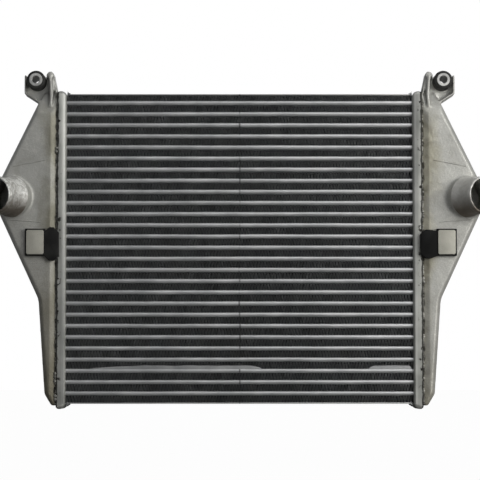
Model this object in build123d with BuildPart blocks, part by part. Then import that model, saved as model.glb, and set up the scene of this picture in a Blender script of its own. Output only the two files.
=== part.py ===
"""Charge-air intercooler for a diesel pickup truck, in millimetres, +Z up.

A finned tube core stands between two slotted header pans. Each header carries a cast tank with
a hose spigot that leans outwards and a mounting lug with a rubber isolator above it. The unit
hangs from its lugs, so the origin is midway between their bores. The side with the spigots faces
-Y. The pieces are drawn about the middle of the core and saved in the frame of the lugs. The
right side is modelled, and the left one is its mirror image about the YZ plane.
"""

import os
from math import cos, radians, sin

from build123d import *

# Core
tube_count = 27
tube_pitch = 19.4
tube_height = 7.0
tube_depth = 48.0
tube_wall = 1.6  # extruded tube, with one web that ties its flat sides together
tube_nose = 2.0  # how far the nose stands out of the flat sides
tube_nose_face = 3.0  # height of the blunt face on the nose
tube_web = 1.2
core_width = 600.0  # from header face to header face

fin_depth = 44.0
fin_sheet = 0.8  # height of the folded sheet, measured straight up
fin_folds = 16  # half waves in one row
fin_end_gap = 1.5  # from the end of a fin row to the header face

side_plate_sheet = 2.0
side_plate_kick = 7.0  # length of the turned-up end
side_plate_kick_angle = 45.0
side_plate_gap = 0.3  # from the turned-up end to the header face

# Header pans
header_depth = 62.0
header_above = 272.0  # top end, from the middle of the core
header_below = 279.0  # bottom end
header_sheet = 2.5
pan_depth = 16.5  # from the slotted face to the open rim
pan_end_radius = 10.0
pan_lip_radius = 5.0  # at the rim's upper and lower ends  # rounded ends, seen from the front
pan_edge_bevel = 3.0  # round the slotted face
braze_gap = 0.15  # round a tube in its slot
tube_stick_out = 4.0  # how far a tube passes through the slotted sheet

# Tanks
tank_wall = 4.0
skirt_gap = 0.2  # between the tank's skirt and the header pan
skirt_length = 6.0  # how far the skirt reaches into the pan
tank_neck = 1.5  # from the pan's rim to where the tank starts to swell
tank_swell = 11.5  # from the pan's rim to the crease along the tank
tank_half_depth = 32.0
tank_bevel = 6.0
tank_foot_step = 6.0  # how much higher the tank ends than the header
tank_top_half_depth = 16.0
tank_shoulder_drop = 30.0  # height of the slope from the front face to the lug
tank_foot_reach = 20.0  # reaches are measured outwards from the pan's rim
tank_foot_radius = 15.0
tank_toe_reach = 8.0  # the outer corner of the foot slopes in to the toe
tank_toe_rise = 20.0
tank_waist_reach = 31.4
tank_waist_height = -90.0
tank_waist_radius = 40.0
tank_apex_reach = 113.7  # the apex is level with the spigot
tank_apex_radius = 30.0
tank_top_reach = 24.6

# Hose spigots
spigot_radius = 31.75
spigot_wall = 3.25
spigot_tilt = 30.0  # degrees outwards from straight ahead
spigot_reach = 48.0  # from the tank's face to the mouth, along the axis
spigot_out = 79.5  # where the axis leaves the tank's face, outside the pan's rim
spigot_height = 87.0
bead_height = 1.6
bead_width = 5.0
bead_setback = 7.0  # from the mouth to the middle of the bead
flare_radius = 35.5
flare_length = 14.0
flare_root_radius = 30.0
flare_root_depth = 30.0

# Mounting lugs: out is measured from the pan's rim, drop down from the tank's top, and above
# up from the lug's bore
lug_out = 37.0
lug_rise = 21.3  # from the tank's top to the lug's bore
lug_web_front = 6.0
lug_web_back = 12.0
lug_wall_front = 24.0
hub_radius = 17.0
hub_front = 8.0
hub_back = 14.0
hub_bore = 14.0
lug_wall = 4.0
lug_side_out = 58.5
lug_side_drop = 0.8
lug_side_above = 10.4
lug_foot_out = 34.0
lug_foot_drop = 16.8
lug_root_drop = 24.3
post_out = 3.5
post_drop = 0.3
head_out = 13.5
head_above = 8.4
head_radius = 6.5
head_front = 28.0
rib_width = 4.5
rib_front = 31.0

# Isolators in the lugs
sleeve_bore = 6.5
sleeve_radius = 11.5
sleeve_gap = 0.1  # between the sleeve and the rubber
isolator_radius = 16.3
isolator_front = 32.0  # length of rubber in front of the hub
isolator_back = 8.0  # length of rubber behind the hub
isolator_neck_gap = 0.2  # between the rubber's neck and the hub
sleeve_stick_out = 2.0  # past each end of the rubber

# Side pads on the tanks' faces: the plate's part reaches outwards, the bumper laps over the header
pad_thickness = 8.0
pad_inner = 4.5  # how far the bumper laps over the header
pad_bumper_width = 26.0
pad_bumper_low = -24.0
pad_bumper_high = 34.0
pad_bumper_slope = 9.0  # how far its corners are cut back
pad_plate_width = 30.0
pad_plate_height = 42.0
pad_plate_sheet = 2.5
pad_plate_low = -13.0
pad_plate_border = 2.5
pad_corner = 2.0

# Worked out from the sizes above
core_half = core_width / 2
rim_x = core_half + pan_depth
stack_half = tube_pitch * (tube_count - 1) / 2
row_height = tube_pitch - tube_height
plate_inner_z = stack_half + tube_pitch - tube_height / 2
tank_foot_z = tank_foot_step - header_below
tank_top_z = header_above - header_sheet - skirt_gap
skirt_half_depth = header_depth / 2 - header_sheet - skirt_gap
spigot_axis = Vector(sin(radians(spigot_tilt)), -cos(radians(spigot_tilt)), 0)
spigot_foot = Vector(rim_x + spigot_out, -tank_half_depth, spigot_height)
lug_axis_x = rim_x + lug_out
lug_height = tank_top_z + lug_rise
lug_side_low = tank_top_z - lug_side_drop
lug_side_high = lug_height + lug_side_above
lug_foot_height = tank_top_z - lug_foot_drop
lug_root_height = tank_top_z - lug_root_drop
post_height = tank_top_z - post_drop
head_height = lug_height + head_above

pick_margin = 0.1  # how near an edge lies to the place it is picked by

os.makedirs("parts", exist_ok=True)


def save(name, part):
    """Lower a finished piece from the core's frame to the lugs', label it and write its STEP file."""
    piece = part.moved(Location((0, 0, -lug_height)))
    piece.label = name
    export_step(piece, f"parts/{name}.step")


def save_pair(name, part):
    """Write the right-hand piece and its mirror image on the left."""
    save(f"right_{name}", part)
    save(f"left_{name}", mirror(part, about=Plane.YZ))


def save_twins(name, part):
    """Write the right-hand piece and its mirror image on the left as one group of two solids."""
    with BuildPart() as twins:
        add(part)
        mirror(about=Plane.YZ)
    save(name, twins.part)


def flat_tube_outline(grow=0.0):
    """Outline of a flat tube with blunt, bevelled noses, grown all round."""
    flat = tube_depth / 2 - tube_nose
    side = tube_height / 2 + grow
    nose = tube_depth / 2 + grow
    face = tube_nose_face / 2
    right_half = [(flat, side), (nose, face), (nose, -face), (flat, -side)]
    with BuildSketch() as outline:
        with BuildLine():
            Polyline(*right_half, *[(-x, -z) for x, z in right_half], close=True)
        make_face()
    return outline.sketch


def tank_shape(inset=0.0):
    """Right tank as a solid, or the space inside its wall: a front outline crossed with a section."""
    rounded_heights = [
        (tank_foot_z + tank_toe_rise, tank_foot_radius - inset),
        (tank_waist_height, tank_waist_radius + inset),
        (spigot_height, tank_apex_radius - inset),
    ]
    with BuildPart() as shape:
        with BuildSketch(Plane.XZ):
            with BuildLine():
                Polyline(
                    (rim_x - skirt_length - inset, tank_foot_z + inset),
                    (rim_x + tank_toe_reach - inset, tank_foot_z + inset),
                    (rim_x + tank_foot_reach - inset, tank_foot_z + tank_toe_rise),
                    (rim_x + tank_waist_reach - inset, tank_waist_height),
                    (rim_x + tank_apex_reach - inset, spigot_height),
                    (rim_x + tank_top_reach - inset, tank_top_z - inset),
                    (rim_x - skirt_length - inset, tank_top_z - inset),
                    close=True,
                )
            make_face()
            for height, radius in rounded_heights:
                nearest = vertices().sort_by(lambda corner: abs(corner.Y - height))
                fillet(nearest.first, radius)
        extrude(amount=tank_half_depth, both=True)
        with BuildSketch(Plane.XY.offset(tank_foot_z)):
            with BuildLine():
                front = [
                    (rim_x + tank_apex_reach, inset - tank_half_depth),
                    (rim_x + tank_swell, inset - tank_half_depth),
                    (rim_x + tank_neck, inset - skirt_half_depth),
                    (rim_x - skirt_length - inset, inset - skirt_half_depth),
                ]
                Polyline(*front, *[(x, -y) for x, y in reversed(front)], close=True)
            make_face()
        extrude(amount=tank_top_z - tank_foot_z, mode=Mode.INTERSECT)
        with BuildSketch(Plane.YZ.offset(rim_x + tank_neck)):
            with BuildLine():
                shoulder = [
                    (inset - tank_half_depth, tank_top_z - tank_shoulder_drop),
                    (inset - tank_top_half_depth, tank_top_z),
                    (inset - tank_half_depth, tank_top_z),
                ]
                Polyline(*shoulder, close=True)
            make_face()
            mirror(about=Plane.YZ)
        extrude(amount=tank_apex_reach, mode=Mode.SUBTRACT)
    return shape.part


def lug_slab(points, front, back=lug_web_back):
    """Flat part of the lug: points give out and height, front and back its reach each way."""
    with BuildPart() as slab:
        with BuildSketch(Plane.XZ.offset(-back)):
            with BuildLine():
                Polyline(*[(rim_x + out, height) for out, height in points], close=True)
            make_face()
        extrude(amount=back + front)
    return slab.part


# Flat tubes, through the slots of both headers
tube_length = core_width + 2 * (header_sheet + tube_stick_out)
tube_bay = tube_depth / 2 - tube_nose - tube_web / 2
for number in range(1, tube_count + 1):
    height = stack_half - (number - 1) * tube_pitch
    with BuildPart() as tube:
        with BuildSketch(Plane((-tube_length / 2, 0, height), x_dir=(0, 1, 0), z_dir=(1, 0, 0))):
            add(flat_tube_outline())
            with GridLocations(tube_bay + tube_web, 0, 2, 1):
                Rectangle(tube_bay, tube_height - 2 * tube_wall, mode=Mode.SUBTRACT)
        extrude(amount=tube_length)
    save(f"tube_{number:02d}", tube.part)

# Corrugated air fins, one folded strip between each two tubes
fold_width = (core_width - 2 * fin_end_gap) / fin_folds
fold_swing = (row_height - fin_sheet) / 2
with BuildSketch() as fin_row:
    with BuildLine():
        lower_side = [
            (fin_end_gap - core_half + fold_width * fold, fold_swing * (-1) ** fold - fin_sheet / 2)
            for fold in range(fin_folds + 1)
        ]
        upper_side = [(x, z + fin_sheet) for x, z in reversed(lower_side)]
        Polyline(*lower_side, *upper_side, close=True)
    make_face()
with BuildPart() as air_fins:
    with BuildSketch(Plane.XZ):
        with GridLocations(0, tube_pitch, 1, tube_count + 1):
            add(fin_row.sketch)
    extrude(amount=fin_depth / 2, both=True)
save("air_fins", air_fins.part)

# Side plates over the outermost fin rows, with turned-up ends
kick_run = side_plate_kick * cos(radians(side_plate_kick_angle))
kick_rise = side_plate_kick * sin(radians(side_plate_kick_angle))
bend_x = core_half - side_plate_gap - kick_run
with BuildPart() as top_side_plate:
    with BuildSketch(Plane.XZ):
        with BuildLine():
            Polyline(
                (-bend_x - kick_run, plate_inner_z + kick_rise),
                (-bend_x, plate_inner_z),
                (bend_x, plate_inner_z),
                (bend_x + kick_run, plate_inner_z + kick_rise),
                (bend_x + kick_run, plate_inner_z + kick_rise + side_plate_sheet),
                (bend_x, plate_inner_z + side_plate_sheet),
                (-bend_x, plate_inner_z + side_plate_sheet),
                (-bend_x - kick_run, plate_inner_z + kick_rise + side_plate_sheet),
                close=True,
            )
        make_face()
    extrude(amount=tube_depth / 2, both=True)
save("top_side_plate", top_side_plate.part)
save("bottom_side_plate", mirror(top_side_plate.part, about=Plane.XY))

# Header pan: a drawn sheet with rounded ends, open towards the tank, slotted for the tubes
header_height = header_above + header_below
header_middle = (header_above - header_below) / 2
with BuildPart() as header:
    with BuildSketch(Plane.XZ):
        with Locations((core_half + pan_depth / 2, header_middle)):
            Rectangle(pan_depth, header_height)
        fillet(vertices().group_by(Axis.X)[0], pan_end_radius)
    extrude(amount=header_depth / 2, both=True)
    front_and_back = edges().group_by(Axis.Y)[0] + edges().group_by(Axis.Y)[-1]
    face_edges = front_and_back.filter_by(lambda edge: edge.center().X < rim_x - pan_depth / 2 - pick_margin)
    chamfer(face_edges, pan_edge_bevel)
    fillet(edges().filter_by(Axis.Y).group_by(Axis.X)[-1], pan_lip_radius)
    with BuildSketch(Plane.XZ):
        with Locations((core_half + header_sheet + pan_depth / 2, header_middle)):
            Rectangle(pan_depth, header_height - 2 * header_sheet)
        fillet(vertices().group_by(Axis.X)[0], pan_end_radius - header_sheet)
    extrude(amount=header_depth / 2 - header_sheet, both=True, mode=Mode.SUBTRACT)
    with BuildSketch(Plane.YZ.offset(core_half)):
        with GridLocations(0, tube_pitch, 1, tube_count):
            add(flat_tube_outline(grow=braze_gap))
    extrude(amount=header_sheet, mode=Mode.SUBTRACT)
save_pair("header", header.part)

# Cast tank: a shell with its skirt in the header pan, a flared spigot and a lug
web_outline = [
    (post_out, lug_root_height),
    (post_out, post_height),
    (head_out - head_radius, head_height),
    (head_out + head_radius, head_height),
    (lug_side_out, head_height),
    (lug_side_out, lug_side_low),
    (lug_foot_out, lug_foot_height),
    (lug_foot_out - lug_wall, lug_root_height),
]
post_outline = [
    (post_out, lug_root_height),
    (post_out, post_height),
    (head_out - head_radius, head_height),
    (head_out - head_radius + lug_wall, head_height),
    (post_out + lug_wall, post_height),
    (post_out + lug_wall, lug_root_height),
]
rib_outline = [
    (head_out - rib_width / 2, lug_root_height),
    (head_out - rib_width / 2, head_height),
    (head_out + rib_width / 2, head_height),
    (head_out + rib_width / 2, lug_root_height),
]
side_wall_outline = [
    (lug_side_out, lug_side_low),
    (lug_side_out, lug_side_high),
    (lug_side_out - lug_wall, lug_side_high),
    (lug_side_out - lug_wall, lug_side_low),
]
floor_outline = [
    (lug_side_out, lug_side_low),
    (lug_foot_out, lug_foot_height),
    (lug_foot_out - lug_wall, lug_foot_height + lug_wall / 2),
    (lug_side_out - lug_wall, lug_side_low + lug_wall / 2),
]
bead_x = spigot_reach - bead_setback
with BuildPart() as tank:
    add(tank_shape())
    rim_edges = edges().filter_by(Plane.XZ).filter_by(
        lambda edge: edge.center().X > rim_x + tank_swell and abs(edge.center().Y) > tank_half_depth - pick_margin
    )
    chamfer(rim_edges, tank_bevel)
    with BuildSketch(Plane(spigot_foot, x_dir=spigot_axis, z_dir=(0, 0, 1))):
        with BuildLine():
            Polyline(
                (flare_length, spigot_radius),
                (0, flare_radius),
                (-flare_root_depth, flare_root_radius),
                (-flare_root_depth, 0),
                (spigot_reach, 0),
                (spigot_reach, spigot_radius),
                (bead_x + bead_width / 2, spigot_radius),
                (bead_x, spigot_radius + bead_height),
                (bead_x - bead_width / 2, spigot_radius),
                (flare_length, spigot_radius),
            )
        make_face()
    revolve(axis=Axis(spigot_foot, spigot_axis))
    add(lug_slab(web_outline, lug_web_front))
    add(lug_slab(post_outline, lug_wall_front))
    add(lug_slab(rib_outline, rib_front))
    add(lug_slab(side_wall_outline, lug_wall_front))
    add(lug_slab(floor_outline, lug_wall_front))
    with BuildSketch(Plane.XZ.offset(-lug_web_back)):
        with Locations((rim_x + head_out, head_height)):
            Circle(head_radius)
    extrude(amount=lug_web_back + head_front)
    with BuildSketch(Plane.XZ.offset(-hub_back)):
        with Locations((lug_axis_x, lug_height)):
            Circle(hub_radius)
    extrude(amount=hub_back + hub_front)
    with BuildSketch(Plane.XZ):
        with Locations((lug_axis_x, lug_height)):
            Circle(hub_bore)
    extrude(amount=hub_back + lug_wall_front, both=True, mode=Mode.SUBTRACT)
    add(tank_shape(inset=tank_wall), mode=Mode.SUBTRACT)
    with BuildSketch(Plane(spigot_foot - spigot_axis * flare_root_depth, z_dir=spigot_axis)):
        Circle(spigot_radius - spigot_wall)
    extrude(amount=flare_root_depth + spigot_reach, mode=Mode.SUBTRACT)
save_pair("tank", tank.part)

# Rubber isolator: a spool through the hub, with a long front end
lug_axis = Axis((lug_axis_x, 0, lug_height), (0, -1, 0))
rubber_front = hub_front + isolator_front
rubber_back = hub_back + isolator_back
rubber_bore = sleeve_radius + sleeve_gap
rubber_neck = hub_bore - isolator_neck_gap
with BuildPart() as isolator:
    with BuildSketch(Plane((lug_axis_x, 0, lug_height), x_dir=(1, 0, 0), z_dir=(0, 0, 1))):
        with BuildLine():
            Polyline(
                (rubber_bore, -rubber_front),
                (isolator_radius, -rubber_front),
                (isolator_radius, -hub_front),
                (rubber_neck, -hub_front),
                (rubber_neck, hub_back),
                (isolator_radius, hub_back),
                (isolator_radius, rubber_back),
                (rubber_bore, rubber_back),
                close=True,
            )
        make_face()
    revolve(axis=lug_axis)
save_twins("isolators", isolator.part)

# Thick metal sleeve inside the rubber
with BuildPart() as sleeve:
    with BuildSketch(Plane((lug_axis_x, 0, lug_height), x_dir=(1, 0, 0), z_dir=(0, 0, 1))):
        with BuildLine():
            Polyline(
                (sleeve_bore, -rubber_front - sleeve_stick_out),
                (sleeve_radius, -rubber_front - sleeve_stick_out),
                (sleeve_radius, rubber_back + sleeve_stick_out),
                (sleeve_bore, rubber_back + sleeve_stick_out),
                close=True,
            )
        make_face()
    revolve(axis=lug_axis)
save_twins("isolator_sleeves", sleeve.part)

# Rubber pad on the tank's face, with a light metal plate on its outer part
bumper_x = rim_x - pad_inner + pad_bumper_width
bumper_middle = (bumper_x - pad_bumper_width / 2, (pad_bumper_low + pad_bumper_high) / 2)
pad_plate_middle = (bumper_x + pad_plate_width / 2, pad_plate_low + pad_plate_height / 2)
with BuildPart() as pad:
    with BuildSketch(Plane.XZ.offset(tank_half_depth)):
        with Locations(bumper_middle):
            Rectangle(pad_bumper_width, pad_bumper_high - pad_bumper_low)
        chamfer(vertices(), pad_bumper_slope)
        with Locations(pad_plate_middle):
            Rectangle(pad_plate_width + 2 * pad_plate_border, pad_plate_height + 2 * pad_plate_border)
    extrude(amount=pad_thickness)
save_pair("pad", pad.part)

with BuildPart() as pad_plate:
    with BuildSketch(Plane.XZ.offset(tank_half_depth + pad_thickness)):
        with Locations(pad_plate_middle):
            Rectangle(pad_plate_width, pad_plate_height)
        chamfer(vertices(), pad_corner)
    extrude(amount=pad_plate_sheet)
save_pair("pad_plate", pad_plate.part)
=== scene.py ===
# %% [markdown]
# # Charge-air intercooler
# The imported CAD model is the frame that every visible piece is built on. Each step below says
# what a piece is on the real unit and how it could be made, and then models it in place.

# %% Load the frame
import math
import random

import bpy
from mathutils import Matrix, Vector, noise


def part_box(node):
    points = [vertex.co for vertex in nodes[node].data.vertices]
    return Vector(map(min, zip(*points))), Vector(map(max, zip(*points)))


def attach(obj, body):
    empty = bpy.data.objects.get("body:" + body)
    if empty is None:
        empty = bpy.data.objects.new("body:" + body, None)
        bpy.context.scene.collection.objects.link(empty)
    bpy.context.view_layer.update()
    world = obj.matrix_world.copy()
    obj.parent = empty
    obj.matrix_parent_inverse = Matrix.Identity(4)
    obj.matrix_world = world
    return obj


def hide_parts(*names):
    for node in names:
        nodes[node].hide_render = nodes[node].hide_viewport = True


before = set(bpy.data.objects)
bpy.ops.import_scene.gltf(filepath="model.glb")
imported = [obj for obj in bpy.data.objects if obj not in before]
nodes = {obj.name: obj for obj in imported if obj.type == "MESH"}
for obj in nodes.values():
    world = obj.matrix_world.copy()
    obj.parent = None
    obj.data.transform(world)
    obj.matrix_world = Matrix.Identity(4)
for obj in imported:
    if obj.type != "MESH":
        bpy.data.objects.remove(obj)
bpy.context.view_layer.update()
random.seed(27)
MM = 0.001
print("CAD nodes:", len(nodes))

# %% [markdown]
# ## Places taken from the frame
# Everything is placed from the boxes of the CAD nodes. The origin is midway between the two
# lugs, so the core hangs below it. The two sides are mirror images but for small differences,
# so most steps run once for each side.

# %% Places
TUBE_COUNT = 27
SIDES = (("right", 1), ("left", -1))
core_low, core_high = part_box(f"tube_{TUBE_COUNT}")[0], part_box("tube_01")[1]
core_middle_z = (core_low.z + core_high.z) / 2
header_low, header_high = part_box("right_header")
core_half = header_low.x
rim_x = header_high.x
floor_z = header_low.z
print("core", round(core_half * 2, 3), "m wide,", round(core_high.z - core_low.z, 3), "m high")

# %% [markdown]
# ## Camera and light
# The unit is seen squarely from the spigots' side through a long lens, from near its foot. A
# strong soft lamp stands in front to the right and a weak one to the left. One hangs above, so
# that the round noses of the tubes catch a highlight along their upper side. One stands near
# the camera, above it and to its right, and reaches into the lugs and between the fins. The
# last one lights the back. Large area lamps are used because they give soft shadows.

# %% Camera
bpy.ops.object.camera_add(location=(-0.0010, -3.5, -0.518))
camera = bpy.context.object
camera.name = "camera"
aim = Vector((0.0007, 0, -0.2761))
camera.rotation_euler = (aim - camera.location).to_track_quat("-Z", "Y").to_euler()
camera.data.sensor_width = 36
camera.data.lens = 150.8
bpy.context.scene.camera = camera
print("camera is", round((aim - camera.location).length, 2), "m away")


# %% Lamps
def soft_lamp(name, place, size, power, tint=(1.0, 1.0, 1.0)):
    """Square area lamp aimed at the middle of the core."""
    bpy.ops.object.light_add(type="AREA", location=place)
    lamp = bpy.context.object
    lamp.name = name
    lamp.data.size = size
    lamp.data.energy = power
    lamp.data.color = tint
    to_core = Vector((0, 0, core_middle_z)) - lamp.location
    lamp.rotation_euler = to_core.to_track_quat("-Z", "Y").to_euler()
    print(name, "gives", power, "W")


soft_lamp("lamp_right", (1.6, -1.5, 0.1), 1.1, 27, (1.0, 0.99, 0.96))
soft_lamp("lamp_left", (-1.4, -1.3, 0.9), 1.0, 1.2, (0.97, 0.98, 1.0))
soft_lamp("lamp_above", (0.6, -1.1, 1.6), 1.4, 10)
soft_lamp("lamp_behind", (0.4, 2.6, 1.3), 1.2, 14)
soft_lamp("lamp_front", (0.9, -3.0, 0.9), 1.2, 7)

# %% [markdown]
# ## Floor and backdrop
# A plain pale studio. The world lights the unit with a soft grey, and the camera sees it white.
# The floor is nearly white to the camera too, and keeps a little of the shadow under the unit.
# Light Path tells the camera's rays from all others, so both can be done in the shader.


# %% One look for the camera and another for the light
def show_camera(tree, output_kind, lighting, seen, share=1.0):
    """Give the camera this share of the seen shader, and all other rays the lighting one."""
    path = tree.nodes.new("ShaderNodeLightPath")
    mixed = tree.nodes.new("ShaderNodeMixShader")
    out = tree.nodes.new(output_kind)
    amount = path.outputs["Is Camera Ray"]
    if share < 1:
        part = tree.nodes.new("ShaderNodeMath")
        part.operation = "MULTIPLY"
        part.inputs[1].default_value = share
        tree.links.new(amount, part.inputs[0])
        amount = part.outputs[0]
    tree.links.new(amount, mixed.inputs["Fac"])
    tree.links.new(lighting.outputs[0], mixed.inputs[1])
    tree.links.new(seen.outputs[0], mixed.inputs[2])
    tree.links.new(mixed.outputs[0], out.inputs["Surface"])


# %% World
WORLD_LIGHT = 0.2
world = bpy.data.worlds.new("studio")
bpy.context.scene.world = world
world.use_nodes = True
world.node_tree.nodes.clear()
seen = world.node_tree.nodes.new("ShaderNodeBackground")
seen.inputs["Color"].default_value = (1, 1, 1, 1)
seen.inputs["Strength"].default_value = 1.0
lighting = world.node_tree.nodes.new("ShaderNodeBackground")
lighting.inputs["Color"].default_value = (0.95, 0.97, 1.0, 1)
lighting.inputs["Strength"].default_value = WORLD_LIGHT
show_camera(world.node_tree, "ShaderNodeOutputWorld", lighting, seen)
bpy.context.scene.view_settings.view_transform = "Standard"
print("world light:", WORLD_LIGHT)

# %% Floor
FLOOR_GREY = 0.3
FLOOR_SHARE = 0.98
bpy.ops.mesh.primitive_plane_add(size=12, location=(0, 0, floor_z - 0.2 * MM))
floor = bpy.context.object
floor.name = "floor"
floor_material = bpy.data.materials.new("floor")
floor_material.use_nodes = True
floor_material.node_tree.nodes.clear()
diffuse = floor_material.node_tree.nodes.new("ShaderNodeBsdfDiffuse")
diffuse.inputs["Color"].default_value = (FLOOR_GREY, FLOOR_GREY, FLOOR_GREY, 1)
glow = floor_material.node_tree.nodes.new("ShaderNodeEmission")
show_camera(floor_material.node_tree, "ShaderNodeOutputMaterial", diffuse, glow, FLOOR_SHARE)
floor.data.materials.append(floor_material)
print("floor at height", round(floor_z, 4))

# %% [markdown]
# ## Materials
# Every finish is built from noise in object space, so that it stays on the piece and repeats
# nowhere. Two small classes wrap the nodes: the first makes noises and coordinates, and the
# second turns them into colour, roughness and a bump.


# %% Noises and coordinates
class Nodes:
    """Node material with short calls for noise, maths and coordinates."""

    def __init__(self, name):
        self.material = bpy.data.materials.new(name)
        self.material.use_nodes = True
        self.tree = self.material.node_tree
        self.shader = self.tree.nodes["Principled BSDF"]
        self.place = self.tree.nodes.new("ShaderNodeTexCoord").outputs["Object"]

    def node(self, kind, **settings):
        made = self.tree.nodes.new(kind)
        for key, value in settings.items():
            setattr(made, key, value)
        return made

    def feed(self, value, socket, extra=()):
        """Set a socket to a constant, with extra at a tuple's end, or link another one to it."""
        if isinstance(value, (int, float)):
            socket.default_value = value
        elif isinstance(value, tuple):
            socket.default_value = value + extra
        else:
            self.tree.links.new(value, socket)

    def noise(self, scale, detail=4.0, stretch=(1, 1, 1), distortion=0.0):
        """Noise with this many features a metre, stretched by a scale for each axis."""
        mapping = self.node("ShaderNodeMapping")
        self.feed(stretch, mapping.inputs["Scale"])
        self.feed(self.place, mapping.inputs["Vector"])
        made = self.node("ShaderNodeTexNoise")
        self.feed(scale, made.inputs["Scale"])
        self.feed(detail, made.inputs["Detail"])
        self.feed(distortion, made.inputs["Distortion"])
        self.feed(mapping.outputs["Vector"], made.inputs["Vector"])
        return made.outputs["Fac"]

    def axis(self, letter):
        """One object coordinate, in metres."""
        made = self.node("ShaderNodeSeparateXYZ")
        self.feed(self.place, made.inputs["Vector"])
        return made.outputs[letter]

    def maths(self, operation, first, second):
        made = self.node("ShaderNodeMath", operation=operation)
        self.feed(first, made.inputs[0])
        self.feed(second, made.inputs[1])
        return made.outputs["Value"]


# %% Blends, bump and shader values
class Finish(Nodes):
    """Finish of one metal or rubber: noises turned into colour, roughness and bump."""

    def ramp(self, source, low, high, start=0.0, end=1.0):
        """Remap a value from low..high to start..end, clamped."""
        made = self.node("ShaderNodeMapRange")
        for socket, value in (("Value", source), ("From Min", low), ("From Max", high),
                              ("To Min", start), ("To Max", end)):
            self.feed(value, made.inputs[socket])
        return made.outputs["Result"]

    def blend(self, amount, first, second):
        """Mix two colours (tuples or sockets) by an amount."""
        made = self.node("ShaderNodeMix", data_type="RGBA")
        self.feed(amount, made.inputs[0])
        colours = [socket for socket in made.inputs if socket.type == "RGBA"]
        self.feed(first, colours[0], (1,))
        self.feed(second, colours[1], (1,))
        return next(socket for socket in made.outputs if socket.type == "RGBA")

    def bump(self, *layers):
        """Bump from (height, distance in millimetres) layers, stacked."""
        normal = None
        for height, distance in layers:
            made = self.node("ShaderNodeBump")
            self.feed(distance * MM, made.inputs["Distance"])
            self.feed(height, made.inputs["Height"])
            if normal:
                self.feed(normal, made.inputs["Normal"])
            normal = made.outputs["Normal"]
        self.feed(normal, self.shader.inputs["Normal"])

    def done(self, colour, **values):
        """Set the shader's sockets, by names with underscores for spaces."""
        self.feed(colour, self.shader.inputs["Base Color"])
        for name, value in values.items():
            self.feed(value, self.shader.inputs[name.replace("_", " ")])
        print("finish:", self.material.name, "with", len(self.tree.nodes), "nodes")
        return self.material


# %% [markdown]
# ### Sand-cast aluminium
# The tanks are cast in sand, so their skin is grainy with broad cloudy patches. An olive stain
# runs along the joint with the header, darkened on the left by painted shade. Painted shade also
# darkens the left tank towards its foot, and the groove at the joint is painted nearly black as
# shade and dirt. Paler colour is painted into the lugs as light reaching in. The spigots are
# machined, with painted shade in brown on their undersides. All of it is one material, because a
# tank is one casting, and each zone is masked by its place.


# %% Skin of the casting
def casting_skin(finish, clouds, patches, grain):
    """Grey in broad clouds, with pale and brown patches and a fine grain."""
    colour = finish.blend(finish.ramp(clouds, 0.35, 0.65), (0.42, 0.42, 0.395), (0.56, 0.56, 0.53))
    colour = finish.blend(finish.ramp(patches, 0.52, 0.66, 0.0, 0.45), colour, (0.68, 0.68, 0.63))
    colour = finish.blend(finish.ramp(patches, 0.44, 0.32, 0.0, 0.4), colour, (0.31, 0.30, 0.26))
    return finish.blend(finish.ramp(grain, 0.35, 0.7), colour, (0.38, 0.375, 0.35))


# %% Stains and painted shade on the casting
def add_stains_and_shade(finish, colour, patches, reach, to_left):
    """Olive stain along the header, painted shade on the left and towards its foot, and painted shade and
    dirt in the groove.
    """
    wander = finish.ramp(finish.noise(22, detail=6, stretch=(1, 1, 0.5)), 0.3, 0.7, -0.02, 0.02)
    ragged = finish.maths("ADD", reach, wander)
    stain = finish.ramp(ragged, rim_x + 2 * MM, rim_x + 32 * MM, 0.8, 0.0)
    stain = finish.maths("MULTIPLY", stain, finish.ramp(finish.axis("Z"), -0.032, -0.06))
    olive = finish.blend(finish.ramp(patches, 0.36, 0.62), (0.20, 0.185, 0.125), (0.46, 0.435, 0.34))
    # painted shade: the olive stain is darkened on the left, where less light falls
    olive = finish.blend(finish.maths("MULTIPLY", to_left, 0.7), olive, (0.15, 0.142, 0.10))
    colour = finish.blend(stain, colour, olive)
    # painted shade: the left tank is darkened towards its foot
    foot_shade = finish.ramp(finish.axis("Z"), core_middle_z + 0.07, floor_z + 0.03, 0.0, 0.88)
    colour = finish.blend(finish.maths("MULTIPLY", foot_shade, to_left), colour, (0.165, 0.15, 0.11))
    # painted shade and dirt: the groove at the joint is made nearly black
    fray = finish.ramp(finish.noise(70, detail=4), 0.3, 0.7, -0.002, 0.0025)
    groove = finish.ramp(finish.maths("ADD", reach, fray), rim_x + 3.6 * MM, rim_x + 1.2 * MM, 0.0, 0.93)
    return finish.blend(groove, colour, (0.03, 0.028, 0.022))


# %% Painted light in the lugs
def add_painted_lug_light(finish, colour):
    """Paler colour painted behind the front walls of the lugs, as light reaching into them."""
    high_up = finish.ramp(finish.axis("Z"), -0.05, -0.038)
    behind_front = finish.ramp(finish.axis("Y"), -0.022, -0.012, 0.0, 0.7)
    return finish.blend(finish.maths("MULTIPLY", high_up, behind_front), colour, (0.84, 0.84, 0.80))


# %% Where the spigots stand
TANK_FACE = -32 * MM
spigot_height = core_middle_z + 87 * MM
spigot_tilt = math.radians(30)
spigot_axis = Vector((math.sin(spigot_tilt), -math.cos(spigot_tilt), 0))
spigot_foot = Vector((rim_x + 79.5 * MM, TANK_FACE, spigot_height))
print("spigots at height", round(spigot_height, 4), "and", round(spigot_foot.x, 4), "m from the middle")


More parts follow.
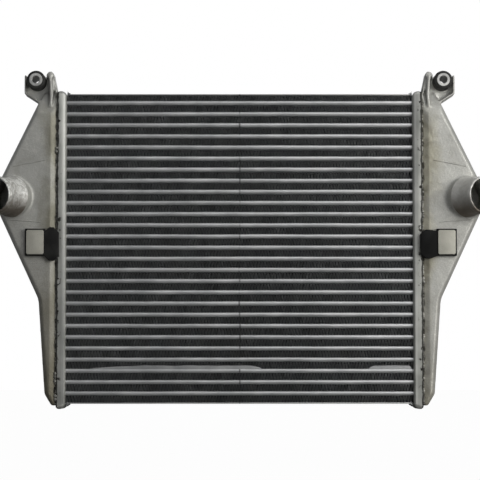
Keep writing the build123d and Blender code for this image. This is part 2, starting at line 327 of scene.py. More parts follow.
# %% Machined spigots
def add_spigots(finish, colour, reach, to_left):
    """Bright scuffed metal from a sharp edge outwards, with painted shade in brown on the underside."""
    forward = finish.maths("MULTIPLY", finish.axis("Y"), spigot_axis.y)
    outward = finish.maths("MULTIPLY", reach, spigot_axis.x)
    foot_along = spigot_foot.x * spigot_axis.x + spigot_foot.y * spigot_axis.y
    along = finish.maths("ADD", finish.maths("ADD", forward, outward), -foot_along)
    in_front = finish.ramp(finish.axis("Y"), TANK_FACE - 1.5 * MM, TANK_FACE - 3 * MM)
    machined = finish.maths("MULTIPLY", in_front, finish.ramp(along, -1.2 * MM, -0.8 * MM))
    scuffs = finish.noise(120, detail=6, distortion=0.8)
    bright = finish.blend(finish.ramp(scuffs, 0.4, 0.6), (0.50, 0.49, 0.46), (0.86, 0.86, 0.83))
    bright = finish.blend(finish.maths("SUBTRACT", 1, to_left), bright, (0.60, 0.59, 0.56))
    # painted shade, tinted brown, on the spigot's underside
    underside_shade = finish.ramp(finish.axis("Z"), spigot_height + 2 * MM, spigot_height - 24 * MM, 0.0, 0.9)
    bright = finish.blend(underside_shade, bright, (0.13, 0.105, 0.078))
    return finish.blend(machined, colour, bright)


# %% Cast aluminium
def cast_aluminium():
    finish = Finish("cast_aluminium")
    clouds = finish.noise(9, detail=5, distortion=0.4)
    patches = finish.noise(38, detail=6, distortion=0.6)
    grain = finish.noise(900, detail=3)
    pits = finish.noise(260, detail=2)
    reach = finish.maths("ABSOLUTE", finish.axis("X"), 0)
    to_left = finish.ramp(finish.axis("X"), 0.05, -0.05, 0.2, 1.0)
    colour = casting_skin(finish, clouds, patches, grain)
    colour = add_stains_and_shade(finish, colour, patches, reach, to_left)
    colour = add_painted_lug_light(finish, colour)
    colour = add_spigots(finish, colour, reach, to_left)
    finish.bump((clouds, 1.2), (patches, 0.5), (pits, 0.35), (grain, 0.12))
    return finish.done(colour, Metallic=0.55, Roughness=finish.ramp(grain, 0.3, 0.7, 0.46, 0.62))


cast = cast_aluminium()

# %% [markdown]
# ### Drawn and extruded aluminium
# The tubes are extruded, and the headers and side plates are made from rolled sheet, so all
# have faint lines along their length and pale handling marks. The headers are painted black with
# shade and dirt where they meet the tanks, with dark chips beside it and a painted highlight along
# their rounded edge near the tubes. The tubes and side plates have dark nicks in line at the
# middle of the core. One recipe with two extras serves them all, and the crushed fins too.

# %% Rim shade, chips and painted highlight
# painted highlight: a pale line along the header's rounded edge near the tubes
HIGHLIGHT_LINE = 305 * MM


def add_rim_shade_chips_and_highlight(finish, colour):
    """Painted shade and dirt in black at the tank, dark chips beside it and a painted highlight line near the
    tubes.
    """
    reach = finish.maths("ABSOLUTE", finish.axis("X"), 0)
    # painted shade and dirt: the rim where the header meets the tank is made nearly black
    fray = finish.ramp(finish.noise(90, detail=3), 0.3, 0.7, -0.0012, 0.0008)
    rim = finish.ramp(finish.maths("ADD", reach, fray), rim_x - 3.2 * MM, rim_x - 2.2 * MM, 0.0, 0.93)
    # painted highlight: a pale line where the header's rounded edge catches the light
    aside = finish.maths("ABSOLUTE", finish.maths("SUBTRACT", reach, HIGHLIGHT_LINE), 0)
    painted_highlight = finish.ramp(aside, 0.5 * MM, 3 * MM, 0.35, 0.0)
    colour = finish.blend(painted_highlight, colour, (0.70, 0.70, 0.67))
    colour = finish.blend(rim, colour, (0.022, 0.021, 0.018))
    near_rim = finish.ramp(reach, rim_x - 9 * MM, rim_x - 5 * MM)
    chips = finish.maths("MULTIPLY", finish.ramp(finish.noise(105, detail=4), 0.61, 0.645), near_rim)
    return finish.blend(chips, colour, (0.03, 0.028, 0.025))


# %% Nicks
def add_nicks(finish, colour, marks):
    """Small dark nicks, in line at the middle of the core."""
    wander = finish.ramp(marks, 0.3, 0.7, -1 * MM, 1 * MM)
    aside = finish.maths("ABSOLUTE", finish.maths("ADD", finish.axis("X"), wander), 0)
    nick = finish.ramp(aside, 0.8 * MM, 1.8 * MM, 0.75, 0.0)
    nick = finish.maths("MULTIPLY", nick, finish.ramp(finish.noise(60), 0.42, 0.55))
    return finish.blend(nick, colour, (0.04, 0.04, 0.04))


# %% Drawn aluminium
def drawn_aluminium(name, dark, light, along, roughness, shaded_rim_and_highlight=False, nicked=False):
    """Rolled or drawn sheet with lines that run along one axis."""
    finish = Finish(name)
    lines = finish.noise(500, detail=3, stretch=along)
    marks = finish.noise(22, detail=5)
    colour = finish.blend(finish.ramp(marks, 0.35, 0.7), dark, light)
    colour = finish.blend(finish.ramp(lines, 0.5, 0.8, 0.0, 0.35), colour, dark)
    if shaded_rim_and_highlight:
        colour = add_rim_shade_chips_and_highlight(finish, colour)
    if nicked:
        colour = add_nicks(finish, colour, marks)
    finish.bump((lines, 0.05), (marks, 0.25))
    return finish.done(colour, Metallic=0.8,
                       Roughness=finish.ramp(marks, 0.3, 0.7, roughness - 0.06, roughness + 0.08))


ALONG_X, ALONG_Z, LOOSELY_Z = (0.02, 1, 1), (1, 1, 0.02), (1, 1, 0.1)
tube_metal = drawn_aluminium("tube_aluminium", (0.50, 0.51, 0.51), (0.66, 0.665, 0.665), ALONG_X, 0.38,
                             nicked=True)
header_metal = drawn_aluminium("header_aluminium", (0.35, 0.355, 0.33), (0.50, 0.50, 0.475), ALONG_Z, 0.46,
                               shaded_rim_and_highlight=True)
plate_metal = drawn_aluminium("plate_aluminium", (0.38, 0.39, 0.385), (0.52, 0.52, 0.51), ALONG_X, 0.45,
                              nicked=True)
crushed_metal = drawn_aluminium("crushed_fin_sheet", (0.24, 0.245, 0.245), (0.36, 0.365, 0.365), LOOSELY_Z,
                                0.45)

# %% [markdown]
# ### Fin sheet
# Thin bare sheet, dull and dusty, and darker deep inside the rows. The darkness goes by how
# deep a place lies in the core, because light alone doesn't dim the inner folds enough.


# %% Fin sheet
def fin_sheet():
    finish = Finish("fin_sheet")
    dust = finish.noise(60, detail=4)
    streaks = finish.noise(70, detail=3, stretch=(1, 0.1, 0.25))
    outside = finish.ramp(finish.maths("ABSOLUTE", finish.axis("Y"), 0), 0.006, 0.024)
    clean = finish.blend(finish.ramp(dust, 0.3, 0.7), (0.36, 0.37, 0.375), (0.52, 0.53, 0.535))
    clean = finish.blend(finish.ramp(streaks, 0.62, 0.74, 0.0, 0.5), clean, (0.55, 0.56, 0.56))
    colour = finish.blend(outside, (0.08, 0.083, 0.09), clean)
    finish.bump((finish.noise(900, detail=2), 0.06))
    return finish.done(colour, Metallic=0.6, Roughness=finish.ramp(dust, 0.3, 0.7, 0.4, 0.6))


fin_metal = fin_sheet()

# %% [markdown]
# ### Rubber, steel and weld
# The isolators and pads are black rubber with a grey bloom. The sleeves and the pads' plates
# are plated steel, dulled by handling. The weld is rough and dark, and uses the same recipe as
# the steel because both are specked metal.


# %% Rubber
def rubber(name, dark, light):
    finish = Finish(name)
    bloom = finish.noise(45, detail=4)
    grain = finish.noise(1400, detail=2)
    colour = finish.blend(finish.ramp(bloom, 0.4, 0.75), dark, light)
    finish.bump((bloom, 0.3), (grain, 0.05))
    return finish.done(colour, Specular_IOR_Level=0.2, Roughness=finish.ramp(bloom, 0.3, 0.7, 0.5, 0.7))


black_rubber = rubber("pad_rubber", (0.006, 0.006, 0.006), (0.022, 0.022, 0.021))
# painted shade: the right pad's rubber is made blacker than the left's
shaded_right_pad_rubber = rubber("right_pad_rubber", (0.002, 0.002, 0.002), (0.006, 0.006, 0.006))
worn_rubber = rubber("isolator_rubber", (0.022, 0.022, 0.021), (0.055, 0.055, 0.052))


# %% Steel and weld
def plated_steel(name, dark, light, metallic=0.7):
    finish = Finish(name)
    marks = finish.noise(70, detail=5)
    specks = finish.noise(700, detail=2)
    colour = finish.blend(finish.ramp(marks, 0.35, 0.65), dark, light)
    colour = finish.blend(finish.ramp(specks, 0.62, 0.75, 0.0, 0.5), colour, (0.16, 0.14, 0.11))
    finish.bump((specks, 0.05), (marks, 0.2))
    return finish.done(colour, Metallic=metallic, Roughness=finish.ramp(marks, 0.3, 0.7, 0.42, 0.6))


sleeve_steel = plated_steel("sleeve_steel", (0.42, 0.42, 0.41), (0.62, 0.62, 0.60))
pad_steel = plated_steel("pad_plate_steel", (0.38, 0.37, 0.32), (0.44, 0.43, 0.375), metallic=0.2)
weld_metal = plated_steel("weld_metal", (0.03, 0.029, 0.025), (0.36, 0.355, 0.325))

# %% [markdown]
# ## Flat tubes
# Twenty-seven extruded tubes with full round noses carry the air across. One is a block whose
# four nose edges are bevelled into half rounds, cut into short lengths so that it can sag and
# waver. The others are copies, each with its own slight waves. A block is enough to start from,
# because only the noses differ from a plain long box.


# %% Select a piece
def only(piece):
    """Make this the one selected and active object."""
    bpy.ops.object.select_all(action="DESELECT")
    piece.select_set(True)
    bpy.context.view_layer.objects.active = piece


def leave_edit():
    bpy.ops.object.mode_set(mode="OBJECT")


# %% Pick edges
def pick_edges(piece, test):
    """Enter edit mode with only those edges selected whose two ends pass the test."""
    only(piece)
    bpy.ops.object.mode_set(mode="EDIT")
    bpy.ops.mesh.select_mode(type="EDGE")
    bpy.ops.mesh.select_all(action="DESELECT")
    bpy.ops.object.mode_set(mode="OBJECT")
    chosen = 0
    for edge in piece.data.edges:
        start, end = (piece.data.vertices[index].co for index in edge.vertices)
        if test(start, end):
            edge.select = True
            chosen += 1
    bpy.ops.object.mode_set(mode="EDIT")
    print(piece.name, "edges picked:", chosen)


# %% Blocks and copies
def block(name, low, high):
    """Plain block between two corners, at the origin with its place in its mesh."""
    middle = [(a + b) / 2 for a, b in zip(low, high)]
    bpy.ops.object.select_all(action="DESELECT")
    bpy.ops.mesh.primitive_cube_add(size=1, location=middle)
    piece = bpy.context.object
    piece.scale = [b - a for a, b in zip(low, high)]
    bpy.ops.object.transform_apply(location=True, rotation=True, scale=True)
    piece.name = piece.data.name = name
    return piece


def duplicate(piece, name, shift):
    """Copy of a finished piece with its own mesh, moved by shift."""
    twin = piece.copy()
    twin.data = piece.data.copy()
    twin.name = twin.data.name = name
    bpy.context.scene.collection.objects.link(twin)
    twin.data.transform(Matrix.Translation(shift))
    return twin


# %% Hand a piece to the frame
def hand_over(piece, slot, material, *replaced, smooth=35):
    """Smooth-shade a piece, give it its material and let it ride on the frame. The slot is not used."""
    only(piece)
    bpy.ops.object.shade_smooth_by_angle(angle=math.radians(smooth))
    piece.data.materials.clear()
    piece.data.materials.append(material)
    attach(piece, "root")
    if replaced:
        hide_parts(*replaced)


# %% One tube
NOSE_STEPS = 7
NOSE_SWELL = 0.45 * MM
NOSE_FACE = 0.1 * MM
TUBE_CUTS = 60
tube_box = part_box("tube_01")
tube_depth = tube_box[1].y - tube_box[0].y
tube_height = tube_box[1].z - tube_box[0].z
tube_length = tube_box[1].x - tube_box[0].x
swell = Vector((0, 0, NOSE_SWELL))
flat_tube = block("tube", tube_box[0] - swell, tube_box[1] + swell)


def along_tube(start, end):
    return abs(start.x - end.x) > tube_length / 2


pick_edges(flat_tube, lambda start, end: along_tube(start, end) and abs(start.y) > tube_depth / 2.1)
nose_radius = (tube_height - NOSE_FACE) / 2 + NOSE_SWELL
bpy.ops.mesh.bevel(offset=nose_radius, segments=NOSE_STEPS, affect="EDGES")
leave_edit()
pick_edges(flat_tube, along_tube)
bpy.ops.mesh.subdivide(number_cuts=TUBE_CUTS)
leave_edit()

# %% All tubes
WAVE_REACH = 0.3
SIDEWAYS = 0.25 * MM
UPWARDS = 0.35 * MM


def waver(piece, seed):
    """Shift a long piece's vertices by slow waves along X that die out at both ends."""
    for vertex in piece.data.vertices:
        fade = max(0.0, 1 - (abs(vertex.co.x) / WAVE_REACH) ** 6)
        slow = noise.noise(Vector((vertex.co.x * 9, seed * 3.7, 0)))
        quick = noise.noise(Vector((vertex.co.x * 45, seed * 5.1, 4)))
        vertex.co.z += fade * UPWARDS * (slow + 0.4 * quick)
        vertex.co.y += fade * SIDEWAYS * noise.noise(Vector((vertex.co.x * 14, seed * 2.3, 9)))


for number in range(1, TUBE_COUNT + 1):
    low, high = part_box(f"tube_{number:02d}")
    drop = (low.z + high.z) / 2 - core_high.z + tube_height / 2
    tube = duplicate(flat_tube, f"flat_tube_{number:02d}", (0, 0, drop))
    waver(tube, number)
    hand_over(tube, "tubes", tube_metal, f"tube_{number:02d}")
print("tubes:", TUBE_COUNT, "with", len(flat_tube.data.polygons), "faces each")
bpy.data.objects.remove(flat_tube)

# %% [markdown]
# ## Air fins
# Between each two tubes stands a strip folded to a fine corrugation, rolled from thin sheet.
# One fold is a small grid bent to a wave, and swept sideways at mid-depth like a herringbone, so
# that nothing shows straight through the core. It is repeated along the row, given a thickness
# and then pushed about a little, because real fins lean and vary. The first row is shorter, and
# the top side plate sits that much lower.


# %% Apply a modifier
def apply_modifier(piece, kind, **settings):
    """Add a modifier with these settings and apply it."""
    only(piece)
    modifier = piece.modifiers.new(kind.title(), kind)
    for key, value in settings.items():
        setattr(modifier, key, value)
    bpy.ops.object.modifier_apply(modifier=modifier.name)


# %% One fold
FOLD_LENGTH = 4.98 * MM
FOLD_COUNT = 122
FOLD_STEPS = 8
FOLD_EDGE = 5 * MM  # straight part at the front and at the back
SWEEP = 4.6 * MM
FIN_THICKNESS = 0.2 * MM
FIN_GAP = 0.25 * MM  # between a crest and its tube
CREST = 0.62  # below 1 the crests are rounder and the sides straighter than a sine's
tube_pitch = (core_high.z - core_low.z - tube_height) / (TUBE_COUNT - 1)
row_height = tube_pitch - tube_height
fin_low, fin_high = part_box("air_fins")
fin_depth = fin_high.y - fin_low.y
fin_swing = row_height / 2 - FIN_THICKNESS / 2 - FIN_GAP
bpy.ops.mesh.primitive_grid_add(x_subdivisions=FOLD_STEPS, y_subdivisions=4, size=1)
fold = bpy.context.object
fold.scale = (FOLD_LENGTH, fin_depth, 1)
fold.location = (-FOLD_LENGTH * (FOLD_COUNT - 1) / 2, 0, 0)
bpy.ops.object.transform_apply(location=True, rotation=True, scale=True)
fold_start = fold.data.vertices[0].co.x
for vertex in fold.data.vertices:
    wave = math.sin(2 * math.pi * (vertex.co.x - fold_start) / FOLD_LENGTH)
    vertex.co.z = fin_swing * math.copysign(abs(wave) ** CREST, wave)
    in_middle = abs(vertex.co.y) < 1 * MM
    vertex.co.x += SWEEP / 2 if in_middle else -SWEEP / 2
    if not in_middle and abs(vertex.co.y) < fin_depth * 0.4:
        vertex.co.y = math.copysign(fin_depth / 2 - FOLD_EDGE, vertex.co.y)
print("pitch", round(tube_pitch / MM, 2), "mm, one fold:", len(fold.data.polygons), "faces")

# %% One row
apply_modifier(fold, "ARRAY", count=FOLD_COUNT, use_relative_offset=False, use_constant_offset=True,
               constant_offset_displace=(FOLD_LENGTH, 0, 0), use_merge_vertices=True,
               merge_threshold=0.02 * MM)
apply_modifier(fold, "SOLIDIFY", thickness=FIN_THICKNESS, offset=0)
print("one fin row:", len(fold.data.polygons), "faces")

# %% All rows
PLATE_DROP = 2.6 * MM
LEAN, DRIFT, FORWARD = 0.9 * MM, 0.7 * MM, 0.5 * MM
fin_reach = core_half - 0.3 * MM


def ruffle(row, row_z, number):
    """Lean the folds of a row and shift them a little, within the two headers."""
    for vertex in row.data.vertices:
        x = vertex.co.x
        height = (vertex.co.z - row_z) / fin_swing
        lean = noise.noise(Vector((x * 25, number * 4.3, 0)))
        drift = noise.noise(Vector((x * 120, number * 2.9, 5)))
        vertex.co.x += LEAN * lean * height + DRIFT * drift
        vertex.co.y += FORWARD * noise.noise(Vector((x * 60, number * 1.7, 8)))
        vertex.co.x = max(-fin_reach, min(fin_reach, vertex.co.x))


for number in range(TUBE_COUNT + 1):
    row_z = core_high.z + row_height / 2 - tube_pitch * number
    row = duplicate(fold, f"fin_row_{number + 1:02d}", (0, 0, row_z))
    ruffle(row, row_z, number)
    if number == 0:
        for vertex in row.data.vertices:
            vertex.co.z -= (vertex.co.z - row_z + row_height / 2) / row_height * PLATE_DROP
    hand_over(row, "air_fins", fin_metal, "air_fins", smooth=50)
bpy.data.objects.remove(fold)
print("fin rows:", TUBE_COUNT + 1)

# %% [markdown]
# ## Crushed fins
# Low in the core the front edges of one row lie flat in two places, and show as a pale band
# above a tube. Each is a thin grid with tapered ends and a rumpled surface, because single bent
# fins would be too fine to see.

# %% Crushed fins
CRUSHED_TUBE = 25
BAND_SHEET = 0.25 * MM
BAND_HEIGHT, BAND_RAGGED = 6.2 * MM, 0.8 * MM
BAND_SLANT, BAND_RUMPLE = 1.6 * MM, 0.35 * MM
BAND_SINK = 0.6 * MM  # how far its foot lies below the tube's top
crushed_bands = (("long", -0.266, 0.040, 0.10, 0.02), ("short", 0.222, 0.298, 0.01, 0.006))
band_foot = core_high.z - tube_pitch * (CRUSHED_TUBE - 1) - BAND_SINK
band_front = -fin_depth / 2 - 0.9 * MM
for name, start, end, taper_start, taper_end in crushed_bands:
    bpy.ops.object.select_all(action="DESELECT")
    bpy.ops.mesh.primitive_grid_add(x_subdivisions=90, y_subdivisions=4, size=1)
    band = bpy.context.object
    band.name = band.data.name = f"{name}_crushed_fins"
    for vertex in band.data.vertices:
        along, up = vertex.co.x + 0.5, vertex.co.y + 0.5
        x = start + (end - start) * along
        fullness = min(1, (x - start) / taper_start, (end - x) / taper_end)
        rumple = noise.noise(Vector((x * 180, up * 3, 2)))
        ragged = noise.noise(Vector((x * 40, 7, 0)))
        y = band_front + BAND_SLANT * up + BAND_RUMPLE * rumple
        z = band_foot + up * (BAND_HEIGHT + BAND_RAGGED * ragged) * fullness ** 0.6
        vertex.co = (x, y, z)
    apply_modifier(band, "SOLIDIFY", thickness=BAND_SHEET, offset=0)
    hand_over(band, "air_fins", crushed_metal, smooth=60)
    print(name, "band:", len(band.data.polygons), "faces")

# %% [markdown]
# ## Side plates
# A rolled strip closes the core above the first fin row and another below the last, with ends
# turned away from the core. A copy of the CAD strip has its loose triangles merged and its edges
# softened, since its shape is right already. A small block of fin metal closes each corner of
# the core at the turned ends.


# %% Copy a CAD node
def copy_of_node(node, name):
    """Merged copy of a CAD node's mesh, with its flat faces whole again."""
    piece = nodes[node].copy()
    piece.data = nodes[node].data.copy()
    piece.name = piece.data.name = name
    piece.parent = None
    for key in list(piece.keys()):
        del piece[key]
    bpy.context.scene.collection.objects.link(piece)
    piece.data.materials.clear()
    only(piece)
    bpy.ops.object.mode_set(mode="EDIT")
    bpy.ops.mesh.select_all(action="SELECT")
    bpy.ops.mesh.remove_doubles(threshold=0.01 * MM)
    leave_edit()
    return piece


def soften(piece, width, segments):
    """Round a piece's sharp edges with a bevel."""
    apply_modifier(piece, "BEVEL", width=width, segments=segments, limit_method="ANGLE",
                   angle_limit=math.radians(30))


# %% Side plates
CORNER_IN, CORNER_OUT = 5 * MM, 0.6 * MM
CORNER_LOW, CORNER_HIGH = 0.8 * MM, 4.8 * MM
CORNER_DEPTH = 19 * MM
for name, way in (("top_side_plate", 1), ("bottom_side_plate", -1)):
    plate = copy_of_node(name, f"{name}_shown")
    soften(plate, 0.4 * MM, 2)
    if way > 0:
        plate.data.transform(Matrix.Translation((0, 0, -PLATE_DROP)))
    hand_over(plate, "side_plates", plate_metal, name)
    base = core_high.z + row_height - PLATE_DROP if way > 0 else core_low.z - row_height
    for word, side in SIDES:
        xs = sorted((side * (core_half - CORNER_IN), side * (core_half + CORNER_OUT)))
        zs = sorted((base - way * CORNER_LOW, base + way * CORNER_HIGH))
        corner = block(f"{word}_{name}_offcut", (xs[0], -CORNER_DEPTH, zs[0]), (xs[1], CORNER_DEPTH, zs[1]))
        apply_modifier(corner, "BEVEL", width=1.2 * MM, segments=3)
        hand_over(corner, "air_fins", fin_metal)
    print(name, "has", len(plate.data.polygons), "faces")

# %% [markdown]
# ## Header pans
# Each header is a deep-drawn pan with rounded ends, slotted for the tubes. The CAD copy is
# cleaned to whole flat faces, so that a bevel can run along its edges, and the long edges get
# the soft radius of a drawn sheet.


# %% Whole flat faces
def make_flats_whole(piece):
    """Dissolve the edges inside flat faces, so that bevels run cleanly."""
    apply_modifier(piece, "DECIMATE", decimate_type="DISSOLVE", angle_limit=math.radians(1))


# %% Headers
HEADER_RADIUS = 1.2 * MM
LONG_EDGE = 0.4
HEADER_EDGE_DEPTH = 27 * MM


def outer_long_edge(start, end):
    return (start - end).length > LONG_EDGE and abs(start.y + end.y) / 2 > HEADER_EDGE_DEPTH


for word, side in SIDES:
    header = copy_of_node(f"{word}_header", f"{word}_header_shown")
    make_flats_whole(header)
    pick_edges(header, outer_long_edge)
    bpy.ops.mesh.bevel(offset=HEADER_RADIUS, segments=3, affect="EDGES")
    leave_edit()
    hand_over(header, "headers", header_metal, f"{word}_header")
    print(word, "header:", len(header.data.polygons), "faces")

# %% [markdown]
# ## Cast tanks
# Each tank is one sand casting with its hose spigot and lug, so every corner has a small
# radius. The CAD copy is rebuilt on a fine even grid and smoothed, which rounds the corners
# inside and out at once, where a bevel would trip over the many short edges. Beside the lug's
# post the grid then leans in towards the header, and the post's head is drawn up a little.


# %% Share of the way
def share(value, none, full):
    """0 at one value, 1 at another, straight between and held beyond them."""
    return max(0.0, min(1.0, (value - none) / (full - none)))


# %% Tanks
TANK_GRID = 2.0 * MM
SHOULDER_LEAN = 3.6 * MM
POST_RISE = 2.2 * MM
LEAN_FROM, LEAN_FULL, LEAN_FADES, LEAN_ENDS = -60 * MM, -26 * MM, -22 * MM, 8 * MM
RISE_FROM, RISE_FULL = -6 * MM, 10 * MM
shoulder_x = 340 * MM
shoulder_full_x = shoulder_x - 14 * MM


def lean_in(tank, side):
    """Lean the shoulder beside the post towards the header, and draw the post's head up."""
    for vertex in tank.data.vertices:
        z = vertex.co.z
        near_rim = share(abs(vertex.co.x), shoulder_x, shoulder_full_x)
        if z > LEAN_FROM and near_rim:
            hump = min(share(z, LEAN_FROM, LEAN_FULL), share(z, LEAN_ENDS, LEAN_FADES))
            vertex.co.x -= side * SHOULDER_LEAN * near_rim * hump
            vertex.co.z += POST_RISE * near_rim * share(z, RISE_FROM, RISE_FULL)


for word, side in SIDES:
    tank = copy_of_node(f"{word}_tank", f"{word}_tank_shown")
    apply_modifier(tank, "REMESH", mode="VOXEL", voxel_size=TANK_GRID)
    apply_modifier(tank, "SMOOTH", factor=0.5, iterations=4)
    lean_in(tank, side)
    hand_over(tank, "tanks", cast, f"{word}_tank", smooth=80)
    print(word, "tank:", len(tank.data.polygons), "faces")

# %% [markdown]
# ## Welds
# On the front and back a weld lies in the groove between tank and header, as a row of
# overlapping ripples. Each ripple is a low drop, a little different from its neighbours, and a
# few at chosen heights are much heavier. Drops are used because a weld is a run of frozen drops,
# and the missing ones leave the gaps that an uneven weld has.


# %% One drop of weld
def weld_drop(segments, rings, place, size):
    """Drop of metal at a place, squashed to a size along each axis."""
    bpy.ops.mesh.primitive_uv_sphere_add(segments=segments, ring_count=rings, radius=1)
    drop = bpy.context.object
    drop.location = place
    drop.scale = size
    return drop


# %% Weld beads
RIPPLE_STEP = 3.1 * MM
MISSING_RIPPLES = 0.22
WELD_END = 9 * MM
WELD_Y, HEAVY_Y = 28.9 * MM, 29.2 * MM
heavy_spots = {"left": (-0.509, -0.515, -0.522, -0.540, -0.547, -0.553, -0.118, -0.124),
               "right": (-0.195, -0.203, -0.212, -0.229, -0.237, -0.345, -0.351)}
weld_low = header_low.z + WELD_END
weld_high = header_high.z - WELD_END
ripple_count = int((weld_high - weld_low) / RIPPLE_STEP)


def ripple(side, way, height):
    """One ripple of the bead, with its own size and slight shift."""
    bulk = random.choice((0.8, 1.0, 1.0, 1.35))
    place = (side * (rim_x + random.uniform(0.0, 0.9) * MM), way * WELD_Y,
             height + random.uniform(-0.4, 0.4) * MM)
    size = (random.uniform(1.4, 2.2) * bulk * MM, random.uniform(1.2, 1.8) * MM,
            random.uniform(1.7, 2.6) * bulk * MM)
    return weld_drop(8, 5, place, size)


def heavy_drop(side, height):
    """Heavier drop on the front."""
    place = (side * (rim_x + random.uniform(0.2, 1.6) * MM), -HEAVY_Y, height)
    size = (random.uniform(2.6, 3.6) * MM, 2.4 * MM, random.uniform(2.4, 4.2) * MM)
    return weld_drop(14, 8, place, size)


for word, side in SIDES:
    for face, way in (("front", -1), ("back", 1)):
        bpy.ops.object.select_all(action="DESELECT")
        drops = [ripple(side, way, weld_low + number * RIPPLE_STEP) for number in range(ripple_count)
                 if random.random() >= MISSING_RIPPLES]
        if face == "front":
            drops += [heavy_drop(side, height) for height in heavy_spots[word]]
        for drop in drops:
            drop.select_set(True)
        bpy.ops.object.join()
        weld = bpy.context.object
        bpy.ops.object.transform_apply(location=True, rotation=True, scale=True)
        weld.name = weld.data.name = f"{word}_{face}_weld"
        hand_over(weld, "tanks", weld_metal, smooth=60)
        print(weld.name, "has", len(drops), "drops")

# %% [markdown]
# ## Spigot shoulders
# The machined part of each spigot starts at a small sharp shoulder. It is a thin ring that
# tapers into the stem, made as on a lathe: one point is drawn out along the profile, and the
# closed line is spun round the axis, which gives the exact profile with even facets.


# %% Turn a ring
def turned(name, profile, middle, axis, steps=64):
    """Ring turned on a lathe from (distance along the axis, radius) points in millimetres."""
    axis = axis.normalized()
    across = axis.orthogonal().normalized()
    places = [middle + axis * (along * MM) + across * (radius * MM)
              for along, radius in (*profile, profile[0])]
    bpy.ops.object.select_all(action="DESELECT")
    bpy.ops.mesh.primitive_plane_add(size=MM, location=places[0])
    piece = bpy.context.object
    bpy.ops.object.transform_apply(location=True)
    bpy.ops.object.mode_set(mode="EDIT")
    bpy.ops.mesh.select_mode(type="VERT")
    bpy.ops.mesh.select_all(action="SELECT")
    bpy.ops.mesh.merge(type="CENTER")
    for here, there in zip(places, places[1:]):
        bpy.ops.mesh.extrude_region_move(TRANSFORM_OT_translate={"value": there - here})
    bpy.ops.mesh.select_all(action="SELECT")
    bpy.ops.mesh.spin(steps=steps, angle=2 * math.pi, center=middle, axis=axis)
    bpy.ops.mesh.select_all(action="SELECT")
    bpy.ops.mesh.remove_doubles(threshold=0.01 * MM)
    bpy.ops.mesh.normals_make_consistent(inside=False)
    leave_edit()
    piece.name = piece.data.name = name
    print(name, "has", len(piece.data.polygons), "faces")
    return piece


# %% Shoulders
shoulder_profile = ((-1.4, 31.0), (-1.4, 35.5), (-0.8, 36.0), (0.2, 35.8), (6, 33.2), (11, 31.9), (11, 31.0))
for word, side in SIDES:
    axis = Vector((side * spigot_axis.x, spigot_axis.y, 0))
    foot = Vector((side * spigot_foot.x, spigot_foot.y, spigot_foot.z))
    shoulder = turned(f"{word}_spigot_shoulder", shoulder_profile, foot, axis, steps=96)
    hand_over(shoulder, "tanks", cast)

# %% [markdown]
# ## Casting ridges
# Thin raised lines cross the tanks' faces, as a mould leaves where its parts meet. Each is a
# slim rod, half sunk in the face, which is simpler than raising a line in the tank's own grid.


# %% One ridge
def ridge(name, start, end, radius):
    """Slim rod between two points on a tank's front face."""
    start, end = Vector(start), Vector(end)
    run = end - start
    bpy.ops.object.select_all(action="DESELECT")
    bpy.ops.mesh.primitive_cylinder_add(vertices=10, radius=radius, depth=run.length,
                                        location=(start + end) / 2,
                                        rotation=run.to_track_quat("Z", "Y").to_euler())
    rod = bpy.context.object
    bpy.ops.object.transform_apply(location=True, rotation=True, scale=True)
    rod.name = rod.data.name = name
    return rod


# %% Ridges
RIDGE_RADIUS = 0.9 * MM
ridge_y = TANK_FACE - 0.1 * MM
ridges = (("upper", (0.337, -0.139), (0.392, -0.150)), ("lower", (0.345, -0.247), (0.401, -0.243)))
for word, side in SIDES:
    for level, (x0, z0), (x1, z1) in ridges:
        rod = ridge(f"{word}_{level}_ridge", (side * x0, ridge_y, z0), (side * x1, ridge_y, z1), RIDGE_RADIUS)
        hand_over(rod, "tanks", cast, smooth=60)
        print(rod.name, "is", round(math.dist((x0, z0), (x1, z1)), 3), "m long")

# %% [markdown]
# ## Isolators and sleeves
# A rubber spool sits in each lug with a thick steel sleeve through it. Both are round, so they
# are turned like the shoulders, from profiles with soft lips.

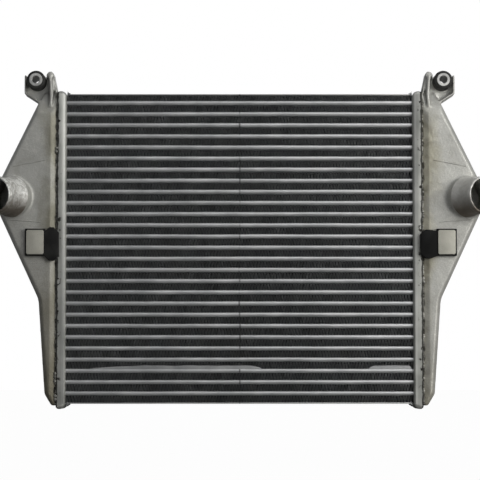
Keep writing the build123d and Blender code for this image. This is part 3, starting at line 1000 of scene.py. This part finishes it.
# %% Isolators
ISOLATOR_FLANGE = 16.3 * MM
isolator_profile = ((-21.6, 11.6), (-22, 12.2), (-22, 15.5), (-21.4, 16.2), (-14.6, 16.2), (-14, 15.6),
                    (-14, 13.8), (8, 13.8), (8, 15.4), (8.8, 16.2), (36, 16.2), (38.6, 15.6),
                    (39.7, 14.2), (40, 12.2), (39.6, 11.6))
sleeve_profile = ((-24, 7.2), (-23.4, 6.5), (41.2, 6.5), (42, 7.3), (42, 10.8), (41.3, 11.5),
                  (-23.3, 11.5), (-24, 10.9))
lug_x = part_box("isolators")[1].x - ISOLATOR_FLANGE
to_front = Vector((0, -1, 0))
for node, slot, material, profile in (
        ("isolators", "isolator_rubber", worn_rubber, isolator_profile),
        ("isolator_sleeves", "isolator_sleeves", sleeve_steel, sleeve_profile)):
    for word, side in SIDES:
        piece = turned(f"{word}_{node[:-1]}", profile, Vector((side * lug_x, 0, 0)), to_front)
        hand_over(piece, slot, material, node)

# %% [markdown]
# ## Side pads
# A rubber block stands on each tank's face over the header joint, with a light steel plate on
# its outer end. Both are softened copies of the CAD pieces. On the right the plate sits a little
# further out, and the block is a little less tall and painted blacker as shade.

# %% Pads
PLATE_DRIFT = 4.5 * MM
BLOCK_SQUEEZE = 0.86
pad_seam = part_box("right_pad_plate")[0].x - 4 * MM
pad_middle = sum(corner.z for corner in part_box("right_pad")) / 2


def shift_right_pad(pad):
    """Move what lies beyond the seam outwards, and squeeze the rest towards its middle."""
    for vertex in pad.data.vertices:
        if vertex.co.x > pad_seam:
            vertex.co.x += PLATE_DRIFT
        else:
            vertex.co.z = pad_middle + (vertex.co.z - pad_middle) * BLOCK_SQUEEZE


for word, side in SIDES:
    pad_rubber = shaded_right_pad_rubber if side > 0 else black_rubber
    for kind, slot, material, softness in (("pad", "pads", pad_rubber, 1.2 * MM),
                                           ("pad_plate", "pad_plates", pad_steel, 0.5 * MM)):
        pad = copy_of_node(f"{word}_{kind}", f"{word}_{kind}_shown")
        make_flats_whole(pad)
        if side > 0:
            shift_right_pad(pad)
        soften(pad, softness, 3)
        hand_over(pad, slot, material, f"{word}_{kind}")
        print(pad.name, "has", len(pad.data.polygons), "faces")
